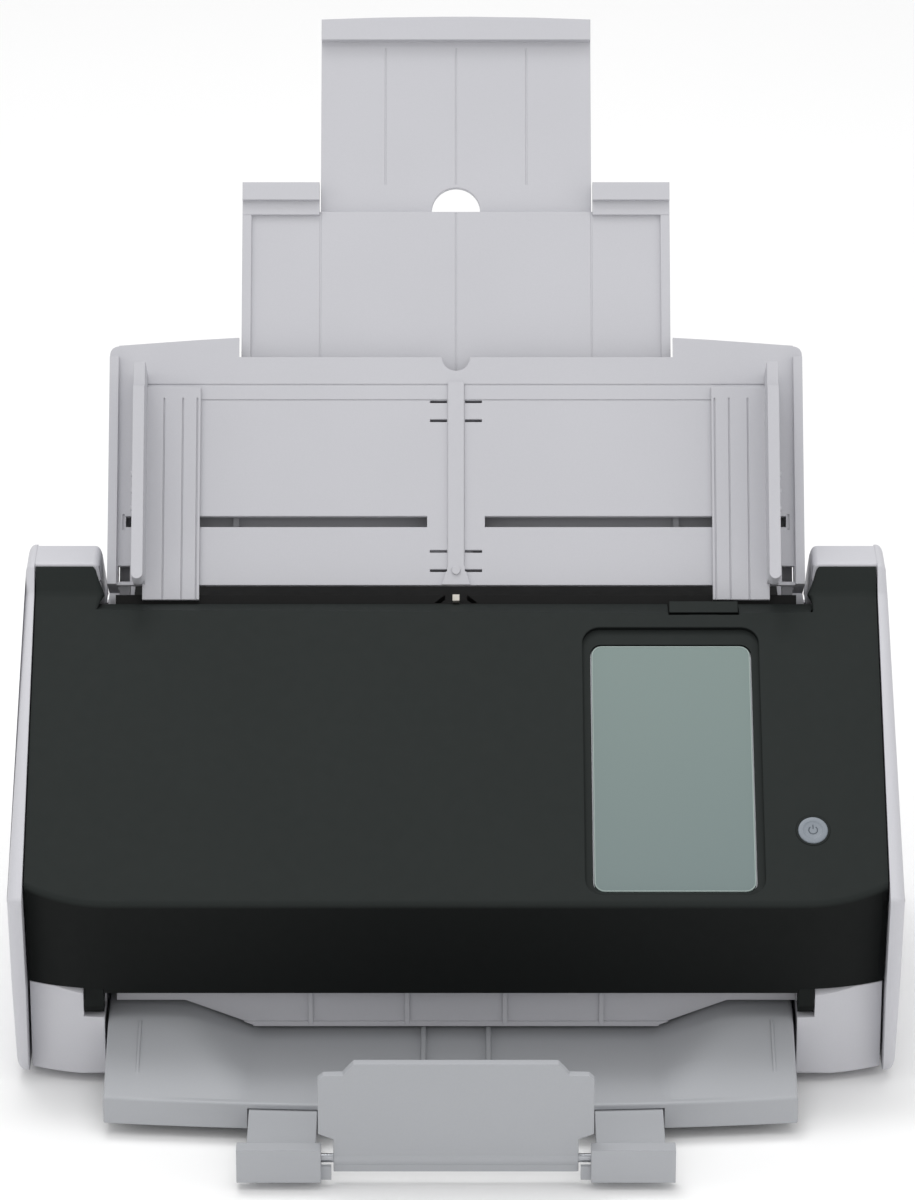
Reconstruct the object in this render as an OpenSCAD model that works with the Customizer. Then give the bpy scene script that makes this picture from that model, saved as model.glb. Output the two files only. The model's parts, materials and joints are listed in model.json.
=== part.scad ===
// Sheet fed document scanner: a wedge body, a front cover that swings forward, a paper chute with
// two pull-out extensions above it and a stacker with its extension and stopper in front of it.
// Frame: X to the right, Y to the rear, Z up. The origin is on the desk, under the middle of the body.

/* [Body] */
// Overall width of the body
body_w = 300; // [298:1:320]
// Height of the shoulders above the desk
body_h = 151; // [150:0.5:152]
// Rear edge of the body at the desk
rear_y = 80; // [78:1:84]
// Wall thickness of the plastic casings
wall = 2.4; // [2:0.1:2.8]

/* [Front cover] */
// Width of the dark front cover
cover_w = 289; // [286:1:290]
// Slope of the front panel
panel_slope = 35.5; // [35:0.1:36]
// Distance of the cover's front ridge in front of the origin
ridge_out = 88; // [87:0.5:89]
// Height of the front ridge
ridge_h = 72; // [71:0.5:73]

/* [Display and button] */
// Middle of the display to the right of the body's centre
screen_x = 73.4; // [72:0.1:76]
// Width of the display's glass
screen_w = 54.2; // [50:0.1:55]
// Length of the display's glass up the panel
screen_len = 95; // [90:0.5:96]
// Depth of the display recess
recess_depth = 1.8; // [1:0.1:2]
// Diameter of the power button
button_d = 10; // [8:0.1:10.5]

/* [Chute] */
// Slope of the paper path and the chute
path_slope = 54; // [53.5:0.1:54.5]
// Width of the chute
chute_w = 240; // [238:0.5:240]
// Widest distance between the paper guides
paper_w = 216; // [200:1:216]

/* [Stacker] */
// Width of the stacker
stacker_w = 231.6; // [228:0.2:232]
// Height of the raised stopper above the desk
stopper_h = 45; // [40:0.5:46]

/* [Drive] */
// Module of all gear teeth
tooth_module = 1; // [1:0.1:1]
// Teeth of the feed and eject roller gears
roller_teeth = 24; // [24:1:24]
// Teeth of the large idler gear
idler_teeth = 36; // [36:1:36]
// Diameter of the roller shafts
shaft_d = 5; // [4:0.5:5]

/* [Hidden] */
$fn = 48;
eps = 0.01;
gap = 0.4;              // free space between fixed pieces that face each other
run = 0.05;             // radial clearance of a turning fit

shell = [0.80, 0.79, 0.81];
dark = [0.19, 0.20, 0.20];
chute_grey = [0.78, 0.78, 0.80];
tray_grey = [0.67, 0.68, 0.70];
steel = [0.62, 0.63, 0.65];
rubber = [0.16, 0.16, 0.17];
nylon = [0.90, 0.89, 0.86];
glass_tint = [0.52, 0.58, 0.56];
board_green = [0.10, 0.36, 0.22];

// Casing lines, as [Y, Z]
ridge = [-ridge_out, ridge_h];
panel_dir = [cos(panel_slope), sin(panel_slope)];
panel_len = 112.8;
shoulder_len = 120.4;
panel_top = ridge + panel_len * panel_dir;
shoulder_foot = ridge + shoulder_len * panel_dir;
shoulder_front = [15, body_h];
shoulder_back = [31, body_h];
cover_foot = [-80.1, 34.7];
undercut = atan2(ridge_out + cover_foot.x, ridge_h - cover_foot.y);
front_y = -80;
block_top = 36;
floor_z = 3.5;
floor_t = 3;

half_w = body_w / 2;
cover_half = cover_w / 2;
side_in = cover_half + gap;         // inner face of a side cover
corner_x = 116;                     // where the plan outline starts to curve back
corner_set = 6.5;                   // how far it has curved back at the cover's end
corner_r = ((cover_half - corner_x) ^ 2 + corner_set ^ 2) / (2 * corner_set);
shoulder_x = 121.2;                 // inner side of a shoulder
mouth = [-118.7, 115.3];            // left and right edge of the stacker opening
tabs = [[-125.4, -118.9], [115.5, 120.8]];  // left and right hinge tab of the cover
pivot = [-76, 30];                  // cover hinge axis
pin_d = 3;
pin_end = 129;                      // outer end of a hinge pin, from the middle

// Paper path: t is the distance down from the throat
throat = [17, 139];
path_dir = [cos(path_slope), sin(path_slope)];
lip = [18.8, 141.4];                // lower edge of the chute's paper surface
exit_t = 104;                       // where the path starts to level out
pick_t = 36;                        // pick roller and brake roller
feed_t = 66;                        // feed roller and its pinch rollers
scan_t = 89;                        // scan lines
eject_t = 112;                      // eject roller and its pinch rollers
pick_r = 10;
feed_r = 8;
eject_r = 7;
brake_r = 4.9;
pinch_r = 4;
brake_h = brake_r + 0.3;            // axis heights in front of the paper path
pinch_h = pinch_r + 0.3;

function path_at(t, h = 0) = throat - t * path_dir + h * [-path_dir.y, path_dir.x];

// A solid with a [Y, Z] outline between two X values
module yz(x0, x1) {
    translate([x0, 0, 0]) rotate([90, 0, 90]) linear_extrude(x1 - x0) children();
}

// Frames: X across, Y up the slope, Z out of the surface
module on_panel() {
    translate([0, ridge.x, ridge.y]) rotate([panel_slope, 0, 0]) children();
}

module on_chute() {
    translate([0, lip.x, lip.y]) rotate([path_slope, 0, 0]) children();
}

module on_path(t = 0, h = 0) {
    p = path_at(t, h);
    translate([0, p.x, p.y]) rotate([path_slope, 0, 0]) children();
}

module both_sides() {
    children();
    mirror([1, 0, 0]) children();
}

// A box given by its lowest and highest corners
module span(low, high) {
    translate(low) cube(high - low);
}

module rounded_plate(w, l, t, r) {
    linear_extrude(t) rounded_rect(w, l, r);
}

// A rectangle from Y = 0 up, centred on X, with true arcs at its corners
module rounded_rect(w, l, r) {
    translate([-w / 2 + r, 0]) square([w - 2 * r, l]);
    translate([-w / 2, r]) square([w, l - 2 * r]);
    for (x = [-w / 2 + r, w / 2 - r], y = [r, l - r]) translate([x, y]) circle(r);
}

// A rod along X
module rod(x0, x1, d) {
    translate([x0, 0, 0]) rotate([0, 90, 0]) cylinder(h = x1 - x0, d = d);
}

// Outline of the front cover seen along the undercut, with the curved front corners
module cover_plan(inset) {
    intersection() {
        union() {
            translate([-corner_x, inset]) square([2 * corner_x, 2 * corner_r]);
            for (x = [-corner_x, corner_x]) translate([x, corner_r]) circle(corner_r - inset, $fn = 96);
        }
        translate([-cover_half + inset, 0]) square([2 * (cover_half - inset), 2 * corner_r]);
    }
}

// Space inside the curved front corners, leaning forward with the undercut
module front_lean(inset = 0) {
    translate([0, ridge.x, ridge.y])
        rotate([undercut, 0, 0])
            translate([0, 0, -60]) linear_extrude(150) cover_plan(inset);
}

// Outline of the cover at a shoulder; between the shoulders it ends at the paper path
module cover_profile() {
    polygon([cover_foot, ridge, shoulder_foot, shoulder_front, shoulder_front + [0, -6],
             path_at(6, -2), path_at(exit_t, 1.4), [-70.5, 38.2], [-76.5, cover_foot.y]]);
}

module cover_block() {
    difference() {
        intersection() {
            front_lean();
            yz(-cover_half, cover_half) cover_profile();
        }
        yz(-shoulder_x, shoulder_x)
            polygon([panel_top, panel_top + [0, 40], [60, 180], [60, 60],
                     path_at(exit_t, 1.4), path_at(4, 1.4)]);
        span([-cover_half - 1, -90, 20], [mouth[0], -60, block_top + gap]);
        span([mouth[1], -90, 20], [cover_half + 1, -60, block_top + gap]);
    }
}

// ---- Front cover ----

module adf_cover() {
    color(dark) difference() {
        union() {
            difference() {
                cover_block();
                cover_hollow();
            }
            for (tab = tabs) cover_tab(tab);
        }
        display_recess();
        on_panel() translate([button_x, button_s, -10]) cylinder(h = 20, d = button_d + 1.6);
        at_axis(pivot) rod(-130, 130, pin_d + 2 * run);
        tab_window();
    }
}

// The inside of the cover, open towards the paper path, with a wall left inside each shoulder
module cover_hollow() {
    difference() {
        intersection() {
            front_lean(wall);
            yz(-cover_half + wall, cover_half - wall)
                polygon([cover_foot + [wall, -2], ridge + [wall, -1.2], panel_top + [-3, -2 * wall],
                         path_at(9, 0.6), path_at(12, -14), path_at(exit_t, -14), [-70, 30]]);
        }
        both_sides() yz(shoulder_x, shoulder_x + wall)
            polygon([panel_top + [-14, -14], shoulder_foot + [0, 9], [20, 160], [20, 138], [8, 128]]);
    }
}

// A hinge tab between two X values
module cover_tab(tab) {
    yz(tab[0], tab[1]) {
        translate(pivot) circle(4);
        translate([pivot.x - 4, pivot.y]) square([7, 9]);
    }
}

button_x = 119.9;                   // button's axis, across and up the panel
button_s = 28.2;
screen_s = 5.9;                     // lower edge of the glass, up the panel
recess_side = 3;                    // floor of the recess left beside the glass
recess_w = screen_w + 2 * recess_side;
recess_len = screen_len + 8.2;

module display_recess() {
    on_panel() translate([screen_x, screen_s - 2, -recess_depth]) {
        rounded_plate(recess_w, recess_len, 20, 6);
        translate([0, 1.7, -20]) rounded_plate(screen_w + 0.8, screen_len + 0.6, 30, 3.8);
    }
}

tab_mid = 85;                       // middle, width and length of the opening tab
tab_w = 23.5;
tab_len = 4.4;

// Cut-out in the cover's upper edge for the opening tab and its arm
module tab_window() {
    on_panel() translate([tab_mid - tab_w / 2 - gap, panel_len - 0.7, -12])
        cube([tab_w + 2 * gap, 20, 30]);
    yz(tab_mid - 5.4, tab_mid + 5.4) translate(panel_top)
        polygon([[-1.6, -1.3], [8, -1.3], [8, -12], [-4.2, -12]]);
}

module display_glass() {
    color(glass_tint) on_panel() translate([screen_x, screen_s, -recess_depth - 1.2])
        rounded_plate(screen_w, screen_len, 1.2, 3.5);
}

module lcd_module() {
    color(steel) on_panel() translate([screen_x, screen_s - 1, -recess_depth - 4.8])
        rounded_plate(screen_w + 4, screen_len + 3, 3.2, 1);
}

module display_board() {
    color(board_green) on_panel() translate([screen_x, screen_s + 8, -recess_depth - 7])
        rounded_plate(screen_w - 6, 50, 1.4, 1);
}

module button_ring() {
    color(dark) on_panel() translate([button_x, button_s, 0]) difference() {
        translate([0, 0, -5]) union() {
            cylinder(h = 5.1, d = button_d + 1.5);
            cylinder(h = 2, d = button_d + 5);
        }
        translate([0, 0, -6]) cylinder(h = 8, d = button_d + 2 * run);
    }
}

module power_button() {
    color(glass_tint) on_panel() translate([button_x, button_s, 0]) {
        translate([0, 0, -4]) cylinder(h = 4.5, d = button_d);
        translate([0, 0, -6.5]) cylinder(h = 2.5 + eps, d = 3);
    }
}

module button_switch() {
    color(dark) on_panel() translate([button_x, button_s, 0])
        translate([-4, -4, -11.5]) cube([8, 8, 4]);
}

inner_x = 112;                      // half the width of the inner guide
scan_half = 110;                    // half the width of a scan unit's opening
inner_scan_l = 19;                  // length of that opening down the path
roller_x = 38;                      // tyres of the feed and eject rollers, from the middle
roller_w = 22;                      // width of a tyre's opening

// Dark guide plate that closes the cover towards the paper path
module cover_inner_guide() {
    color(dark) difference() {
        on_path(exit_t, 1.6) translate([-inner_x, 0, 0]) cube([2 * inner_x, exit_t - 12, 1.1]);
        for (w = inner_windows) path_window(w);
        path_window([0, scan_t, 2 * scan_half, inner_scan_l]);
    }
}

// Openings of the inner guide: [x, t, width, length]
inner_windows = [
    [0, pick_t, 42, 13],
    [-roller_x, feed_t, roller_w + 6, 10],
    [roller_x, feed_t, roller_w + 6, 10]
];

// An opening through a guide, given as [x, t, width, length]
module path_window(w) {
    on_path(w[1]) translate([w[0] - w[2] / 2, -w[3] / 2, -8]) cube([w[2], w[3], 16]);
}

module upper_scan_unit() {
    color(dark) on_path(scan_t, 1.9) difference() {
        translate([-scan_half + 0.5, -9, 0]) cube([2 * scan_half - 1, 18, 13]);
        translate([-scan_half + 3, -7, -1]) cube([2 * scan_half - 6, 14, 10]);
    }
}

module upper_scan_glass() {
    color(glass_tint) on_path(scan_t, 1.9) translate([-scan_half + 3.2, -6.8, 0])
        cube([2 * scan_half - 6.4, 13.6, 1.6]);
}

module brake_roller() {
    color(rubber) on_path(pick_t, brake_h) {
        for (x = [-15, 1]) rod(x, x + 14, 2 * brake_r);
        rod(-27, 27, 4);
    }
}

module feed_pinch_rollers() {
    color(rubber) on_path(feed_t, pinch_h) {
        for (x = [-roller_x, roller_x]) rod(x - 9, x + 9, 2 * pinch_r);
        rod(-58, 58, 3);
    }
}

module eject_pinch_rollers() {
    color(rubber) on_path(eject_t, pinch_h) {
        for (x = [-roller_x, roller_x]) rod(x - 9, x + 9, 2 * pinch_r);
        rod(-58, 58, 3);
    }
}

// Bearing blocks inside the cover for the brake and pinch roller shafts
module cover_bearings() {
    color(nylon) {
        for (x = [-27, 22]) bearing_block(x, pick_t, brake_h, 4);
        for (x = [-58, 53], t = [feed_t, eject_t]) bearing_block(x, t, pinch_h, 3);
    }
}

module bearing_block(x, t, h, d) {
    on_path(t, h) difference() {
        translate([x, -4.5, 3.2 - h]) cube([5, 9, h - 3.2 + d / 2 + 1.6]);
        rod(x - 1, x + 6, d + 2 * run);
    }
}

latch_t = 21;                       // latch rod, down the path and in front of it
latch_h = 4.6;
latch_d = 2.6;
latch_axis = path_at(latch_t, latch_h);
// Upper and lower end of the opening tab's arm
tab_arm = [ridge + (panel_len + 2.2) * panel_dir + [0.5, -1.2], latch_axis + [-0.3, -1.1]];

// The opening tab with the arm that holds it on the latch rod
module open_tab() {
    color(dark) {
        on_panel() translate([tab_mid - tab_w / 2, panel_len + 0.3, -2]) cube([tab_w, tab_len, 2]);
        difference() {
            yz(tab_mid - 5, tab_mid + 5)
                polygon([tab_arm[0] + [-1, 0], tab_arm[0] + [1.2, 0],
                         tab_arm[1] + [1.6, 0], tab_arm[1] + [-0.7, 0]]);
            on_path(latch_t, latch_h) rod(0, 120, latch_d);
        }
    }
}

module latch_rod() {
    color(steel) on_path(latch_t, latch_h) rod(-114.5, 114.5, latch_d);
}

module latch_hooks() {
    color(nylon) both_sides() on_path(latch_t, latch_h) difference() {
        union() {
            rod(113.2, 116.4, 6.4);
            translate([113.2, -2.4, -9]) cube([3.2, 4.8, 9]);
        }
        rod(112, 114.5, latch_d);
    }
}

module hinge_pins() {
    color(steel) at_axis(pivot) {
        rod(-pin_end, tabs[0][1] - 0.1, pin_d);
        rod(tabs[1][0] + 0.1, pin_end, pin_d);
    }
}

// ---- Body ----

// Side view of the casing
module side_profile() {
    polygon([[front_y + 2, 2.5], [front_y, 5], [-80.6, 36], [ridge.x + 0.9, ridge.y - 2],
             ridge + [0.2, 1], ridge + [2, 2.6], shoulder_foot + [-1, 0.6],
             shoulder_front + [-1.5, -1.6], shoulder_front, shoulder_back, [36, 147],
             [rear_y, 10], [rear_y, 5], [rear_y - 3, 2.5]]);
}

// Wall of one side with the light cap of its shoulder
module side_cover() {
    color(shell) difference() {
        union() {
            yz(side_in, half_w) side_profile();
            yz(shoulder_x, side_in + eps)
                polygon([shoulder_front + [0.4, 0], shoulder_back, [36, 147], [44, 126],
                         [26, 126], shoulder_front + [0.4, -8]]);
        }
        yz(side_in - 1, half_w - wall) offset_profile(wall);
        yz(shoulder_x + wall, side_in)
            polygon([shoulder_front + [0.4 + wall, -wall], shoulder_back + [-0.5, -wall],
                     [34, 145], [42, 125], [24, 125], shoulder_front + [0.4 + wall, -8]]);
    }
}

// The side profile scaled towards its middle, which leaves a wall of about w
module offset_profile(w) {
    middle = [0, 66];
    translate(middle) scale([1 - w / 82, 1 - w / 66]) translate(-middle) side_profile();
}

module right_side_cover() side_cover();
module left_side_cover() mirror([1, 0, 0]) side_cover();

// Rear wall with its ledge under the chute, the port openings and a row of vents
module rear_cover() {
    color(shell) difference() {
        union() {
            yz(-side_in + 0.6, side_in - 0.6)
                polygon([[36.6, 145], [39.3, 145], [rear_y - 0.2, 10], [rear_y - 0.2, 6],
                         [rear_y - 2.6, 6], [rear_y - 2.6, 10]]);
            yz(-shoulder_x + gap, shoulder_x - gap)
                polygon([[26, 130.5], [43, 130.5], [44, 127.5], [26, 127.5]]);
        }
        both_sides() span([112.6, 20, 120], [117.2, 32, 132]);
        yz(-shoulder_x - 0.2, shoulder_x + 0.2)
            polygon([[30, 152], [30, 130.5 + eps], [60, 130.5 + eps], [60, 152]]);
        both_sides() yz(shoulder_x, side_in) polygon([[30, 152], [30, 124], [46.6, 124], [38, 150]]);
        rear_port_cuts();
        for (x = [-60:8:60]) yz(x, x + 4) polygon([[60, 40], [60, 60], [90, 60], [90, 40]]);
    }
}

port_z = 22;                        // lower edge of the port openings
// Power jack, USB socket and network socket, each as [x, width, height]
ports = [[-110, 10, 10], [-88, 13, 12], [-64, 16, 14]];

module rear_port_cuts() {
    for (p = ports)
        span([p[0] - p[1] / 2 - 0.5, 60, port_z - 0.5], [p[0] + p[1] / 2 + 0.5, 90, port_z + p[2] + 0.5]);
}

module rear_ports() {
    color(dark) for (p = ports) difference() {
        span([p[0] - p[1] / 2, 62, port_z], [p[0] + p[1] / 2, 75, port_z + p[2]]);
        span([p[0] - p[1] / 2 + 1.2, 66, port_z + 1.2], [p[0] + p[1] / 2 - 1.2, 76, port_z + p[2] - 1.2]);
    }
}

base_half = side_in - 0.8;          // half the width of the base
base_back = rear_y - 3.2;           // rear edge of the base

// Floor of the body with its two front corners and a rib inside the rear wall
module base_tray() {
    color(shell) difference() {
        union() {
            span([mouth[0] - 2, front_y + 1.5, floor_z], [tabs[1][1] + 2, base_back, floor_z + floor_t]);
            both_sides() span([118, front_y + 12, floor_z], [base_half, base_back, floor_z + floor_t]);
            corner_block(mouth[1], tabs[1][1] + 0.3);
            mirror([1, 0, 0]) corner_block(-mouth[0], -tabs[0][0] + 0.3);
            span([-base_half, rear_y - 8, floor_z], [base_half, rear_y - 5.2, 14]);
        }
        at_axis(pivot) {
            rod(-pin_end, tabs[0][0] + 1, pin_d);
            rod(tabs[1][1] - 1, pin_end, pin_d);
        }
        for (x = foot_x, y = foot_y) translate([x, y, 0]) cylinder(h = floor_z + 1, d = 6);
        for (p = screw_places) translate([p.x, p.y, 0]) cylinder(h = 9, d = 3);
    }
}

block_back = -58;                   // rear face of a front corner

// Front corner of the base, from x0 outwards, with a slot for a hinge tab that ends at x1
module corner_block(x0, x1) {
    difference() {
        intersection() {
            yz(x0, base_half)
                polygon([[front_y, floor_z + 1], [front_y + 1, floor_z], [block_back, floor_z],
                         [block_back, block_top], [front_y + 3, block_top],
                         [front_y, block_top - 2.6]]);
            translate([0, front_y, 0]) linear_extrude(60) cover_plan(0);
        }
        yz(x0 + wall, side_in - 3.4)
            polygon([[front_y + 9.4, floor_z + floor_t], [block_back + 1, floor_z + floor_t],
                     [block_back + 1, block_top - wall - 2], [front_y + 9.4, block_top - wall - 2]]);
        span([x0 - 1, front_y - 1, pivot.y - 4.6], [x1, pivot.x + 8, 60]);
    }
}

foot_x = [-124, 124];               // places of the feet
foot_y = [-62, 62];

module rubber_feet() {
    color(rubber) for (x = foot_x, y = foot_y) translate([x, y, 0]) {
        cylinder(h = floor_z - eps, d = 14);
        cylinder(h = floor_z + 1 - eps, d = 5.96);
    }
}

screw_places = [[-100, 68], [100, 68], [-132, 0], [132, 0]];

module case_screws() {
    color(steel) for (p = screw_places) translate([p.x, p.y, 0]) {
        translate([0, 0, floor_z - 1.6]) cylinder(h = 1.6 - eps, d = 5.5);
        translate([0, 0, floor_z - 1.6]) cylinder(h = 9, d = 2.98);
    }
}

exit_half = 115.2;                  // half the width of the exit wall

// Light guide wall under the paper exit, cut away at the sides for the stacker's wings
module exit_guide() {
    color(shell) difference() {
        union() {
            yz(-exit_half, exit_half)
                polygon([[-68, 16], [-68, 31.5], [-66.6, 33], path_at(exit_t + 12, -5),
                         path_at(exit_t + 12, -7), [-65, 30.5], [-65, 16]]);
            span([-exit_half, -68.8, 16], [exit_half, -65, 17.8]);
            for (x = [-49.4, -16.6, 16.6, 49.4]) span([x - 0.8, -69, 17], [x + 0.8, -66, 32]);
        }
        both_sides() wing_clearance();
        for (x = [-roller_x, roller_x]) span([x - 10, -53, 30], [x + 10, -40, 60]);
    }
}

// Space behind the exit wall that a stacker wing moves into
module wing_clearance() {
    translate([0, -80, 0]) rotate([-90, 0, 0])
        linear_extrude(60)
            polygon([[69, -10], [69, -16.5], [92, -wing_top - 1.2], [130, -wing_top - 1.2], [130, -10]]);
}

frame_x = 117.6;                    // inner face and thickness of a side plate of the frame
frame_t = 1.6;

// Axes of the drive train, as [Y, Z]
pick_axis = path_at(pick_t, -pick_r - 0.2);
feed_axis = path_at(feed_t, -feed_r - 0.2);
eject_axis = path_at(eject_t, -eject_r - 0.2);
roller_pitch = roller_teeth * tooth_module / 2;
small_teeth = 16;                   // teeth of the small idler and of the motor's pinion
motor_teeth = 12;
small_axis = third_point(pick_axis, feed_axis, roller_pitch + small_teeth * tooth_module / 2);
idler_axis = third_point(feed_axis, eject_axis, roller_pitch + idler_teeth * tooth_module / 2);
motor_axis = idler_axis + (idler_teeth + motor_teeth) * tooth_module / 2 * [cos(-20), sin(-20)];
shaft_axes = [pick_axis, feed_axis, eject_axis];

// The point behind the line from a to b that is a distance r from both
function third_point(a, b, r) =
    let (d = (b - a) / norm(b - a), h = sqrt(r ^ 2 - (norm(b - a) / 2) ^ 2)) (a + b) / 2 + h * [-d.y, d.x];

module at_axis(p) {
    translate([0, p.x, p.y]) children();
}

// Side plate of the frame with a bore for each bushing
module frame_plate() {
    color(steel) difference() {
        yz(frame_x, frame_x + frame_t)
            polygon([[-57.5, 31], [-44, 33], path_at(eject_t + 8, -2), path_at(14, -3),
                     [26, 121], [58, 66], [70, 30], [70, 6.6], [20, 6.6], [20, 31]]);
        for (p = shaft_axes) at_axis(p) rod(frame_x - 1, frame_x + 3, shaft_d + 4);
    }
}

module right_frame_plate() {
    color(steel) difference() {
        frame_plate();
        for (p = [small_axis, idler_axis]) at_axis(p) rod(frame_x - 1, frame_x + 3, 4);
        at_axis(motor_axis) rod(frame_x - 1, frame_x + 3, 10);
    }
}

module left_frame_plate() mirror([1, 0, 0]) frame_plate();

module shaft_bushings() {
    color(nylon) both_sides() for (p = shaft_axes) at_axis(p) difference() {
        union() {
            rod(frame_x - 2, frame_x + frame_t, shaft_d + 3.96);
            rod(frame_x - 2, frame_x - 0.05, shaft_d + 7);
        }
        rod(frame_x - 3, frame_x + 4, shaft_d + 2 * run);
    }
}

module frame_beam() {
    color(steel) difference() {
        span([-frame_x + 0.05, 24, 96], [frame_x - 0.05, 42, 97.6]);
        for (x = [-90:30:90]) translate([x, 33, 90]) cylinder(h = 20, d = 8);
    }
}

// A roller shaft with two pairs of rubber tyres
module roller(p, r, width, x_places) {
    at_axis(p) {
        rod(-frame_x - 3, 128, shaft_d);
        for (x = x_places) rod(x - width / 2, x + width / 2, 2 * r);
    }
}

module pick_roller() color(rubber) roller(pick_axis, pick_r, 14, [-8.5, 8.5]);
module feed_roller() color(rubber) roller(feed_axis, feed_r, 18, [-roller_x, roller_x]);
module eject_roller() color(rubber) roller(eject_axis, eject_r, 18, [-roller_x, roller_x]);

// Involute outline of a spur gear: points on one flank, mirrored and repeated for each tooth
pressure = 20;
function involute(base, a) = base * [cos(a) + a * PI / 180 * sin(a), sin(a) - a * PI / 180 * cos(a)];
function inv_angle(base, r) = sqrt((r / base) ^ 2 - 1) * 180 / PI;
function turned(p, a) = [p.x * cos(a) - p.y * sin(a), p.x * sin(a) + p.y * cos(a)];

module gear_outline(teeth, play = 0.12) {
    m = tooth_module;
    pitch = m * teeth / 2;
    base = pitch * cos(pressure);
    tip = pitch + m;
    root = pitch - 1.25 * m;
    at_pitch = involute(base, inv_angle(base, pitch));
    half = 90 / teeth - play / pitch * 90 / PI + atan2(at_pitch.y, at_pitch.x);
    start = max(base, root + 0.02);
    foot = turned([root, 0], half * 1.02);
    flank = [for (i = [0:4]) turned(involute(base, inv_angle(base, start + (tip - start) * i / 4)), -half)];
    tooth = concat([[foot.x, -foot.y]], flank, [for (i = [4:-1:0]) [flank[i].x, -flank[i].y]], [foot]);
    polygon([for (k = [0:teeth - 1], q = tooth) turned(q, k * 360 / teeth)]);
}

gear_x = 121.5;                     // inner face and width of the gears
gear_w = 5;

// A gear in the drive plane, turned by phase about its axis; its bore is a press fit on the shaft
module drive_gear(p, teeth, phase, bore) {
    at_axis(p) difference() {
        union() {
            translate([gear_x, 0, 0]) rotate([90, 0, 90]) linear_extrude(gear_w)
                rotate(phase) gear_outline(teeth);
            rod(gear_x - 1, gear_x, bore + 4);
        }
        rod(gear_x - 2, gear_x + gear_w + 1, bore);
    }
}

// Direction of b from a, in degrees, and the phase that meshes a gear at b with one at a
function heading(a, b) = atan2(b.y - a.y, b.x - a.x);
function mesh_phase(a, teeth_a, phase_a, b, teeth_b) =
    let (h = heading(a, b)) h + 180 - 180 / teeth_b - (phase_a - h) * teeth_a / teeth_b;

feed_phase = 0;
small_phase = mesh_phase(feed_axis, roller_teeth, feed_phase, small_axis, small_teeth);
pick_phase = mesh_phase(small_axis, small_teeth, small_phase, pick_axis, roller_teeth);
idler_phase = mesh_phase(feed_axis, roller_teeth, feed_phase, idler_axis, idler_teeth);
eject_phase = mesh_phase(idler_axis, idler_teeth, idler_phase, eject_axis, roller_teeth);
motor_phase = mesh_phase(idler_axis, idler_teeth, idler_phase, motor_axis, motor_teeth);

module pick_gear() color(nylon) drive_gear(pick_axis, roller_teeth, pick_phase, shaft_d + 0.02);
module feed_gear() color(nylon) drive_gear(feed_axis, roller_teeth, feed_phase, shaft_d + 0.02);
module eject_gear() color(nylon) drive_gear(eject_axis, roller_teeth, eject_phase, shaft_d + 0.02);
module small_idler_gear() color(nylon) drive_gear(small_axis, small_teeth, small_phase, 4 + 2 * run);
module large_idler_gear() color(nylon) drive_gear(idler_axis, idler_teeth, idler_phase, 4 + 2 * run);
module motor_pinion() color(steel) drive_gear(motor_axis, motor_teeth, motor_phase, 3.02);

// Fixed posts of the two idler gears, each with a head
module idler_posts() {
    color(steel) for (p = [small_axis, idler_axis]) at_axis(p) {
        rod(frame_x, gear_x + gear_w + 1.5, 3.98);
        rod(gear_x + gear_w + 0.3, gear_x + gear_w + 1.5, 7);
    }
}

motor_d = 32;                       // diameter and length of the motor
motor_len = 38;

module drive_motor() {
    color(steel) at_axis(motor_axis) difference() {
        union() {
            rod(frame_x - motor_len, frame_x - 0.05, motor_d);
            rod(frame_x - 0.1, frame_x + 2.6, 9);
        }
        rod(frame_x - 12, frame_x + 4, 3.2);
    }
}

module motor_shaft() {
    color(steel) at_axis(motor_axis) rod(frame_x - 11, gear_x + gear_w + 1, 3);
}

// Dark plate behind the paper path, with the throat's edge at its upper end
module lower_feed_guide() {
    color(dark) difference() {
        union() {
            on_path(feed_t + 11, -1.8) translate([-frame_x + 0.2, 0, 0])
                cube([2 * frame_x - 0.4, feed_t + 10.5, 1.8]);
            on_path(0, -8) translate([-frame_x + 0.2, -3, 0]) cube([2 * frame_x - 0.4, 2.5, 7]);
        }
        path_window([0, pick_t, 34, 16]);
        for (x = [-roller_x, roller_x]) path_window([x, feed_t, roller_w, 14]);
        lever_notch();
        both_sides() path_window([114.8, latch_t, 4.4, 16]);
    }
}

// Triangular opening at the throat for the paper sensor's lever
module lever_notch() {
    on_path(0, -9) linear_extrude(12) polygon([[-1.8, 1], [1.8, 1], [7.5, -3.4], [-7.5, -3.4]]);
}

sensor_axis = path_at(2.2, -5.4);

// The lever that the paper pushes down at the throat
module sensor_lever() {
    color(nylon) at_axis(sensor_axis) {
        rod(-1.2, 1.2, 3.4);
        rotate([path_slope, 0, 0]) translate([-1.2, -1, 0]) cube([2.4, 2.2, 8.6]);
    }
}

module lower_scan_unit() {
    color(dark) on_path(scan_t, -1.8) difference() {
        translate([-scan_half + 0.5, -9, -13]) cube([2 * scan_half - 1, 18, 13]);
        translate([-scan_half + 3, -7, -10]) cube([2 * scan_half - 6, 14, 11]);
    }
}

module lower_scan_glass() {
    color(glass_tint) on_path(scan_t, -1.8) translate([-scan_half + 3.2, -6.8, -1.6])
        cube([2 * scan_half - 6.4, 13.6, 1.6]);
}

module control_board() {
    color(board_green) difference() {
        span([-112, 24, 10], [40, 61, 11.6]);
        for (x = [-106, 34], y = [29, 56]) translate([x, y, 0]) cylinder(h = 20, d = 3.2);
    }
}

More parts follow.
